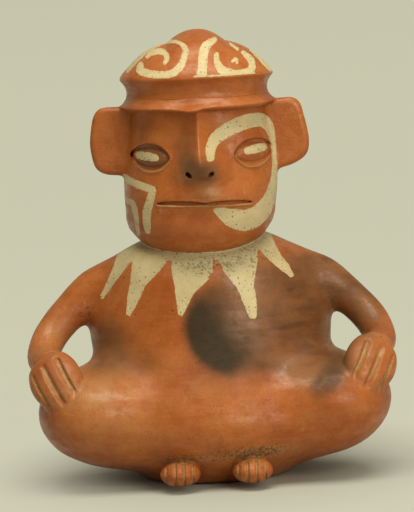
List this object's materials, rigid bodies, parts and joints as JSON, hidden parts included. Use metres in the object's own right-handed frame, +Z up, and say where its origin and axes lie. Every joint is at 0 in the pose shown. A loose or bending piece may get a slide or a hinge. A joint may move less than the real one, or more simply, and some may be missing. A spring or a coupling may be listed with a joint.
{
  "type": "stirrup spout bottle",
  "caption": "Fired clay bottle in the form of a seated figure with a domed cap, hands on its knees, and a stirrup handle with a spout behind the head.",
  "frame": {"origin": "centre of the flat underside that the bottle stands on", "axes": "+Z up, the figure faces -Y, +X is on the right in the picture"},
  "size_m": [0.1538, 0.1368, 0.1853],
  "materials": {
    "burnished_slip": "burnished red slip",
    "smoked_slip": "smoke-darkened slip",
    "bare_clay": "matt bare clay"
  },
  "bodies": {
    "root": {"body_front_shell": "burnished_slip", "body_back_shell": "burnished_slip", "base_disc": "bare_clay", "face_shell": "burnished_slip", "head_back_shell": "burnished_slip", "cap": "burnished_slip", "ear_left": "burnished_slip", "ear_right": "burnished_slip", "arm_left": "burnished_slip", "arm_right": "smoked_slip", "hand_left": "burnished_slip", "hand_right": "burnished_slip", "foot_left": "burnished_slip", "foot_right": "burnished_slip", "stirrup_lower_branch": "burnished_slip", "stirrup_upper_branch": "burnished_slip", "spout": "burnished_slip"}
  },
  "joints": []
}
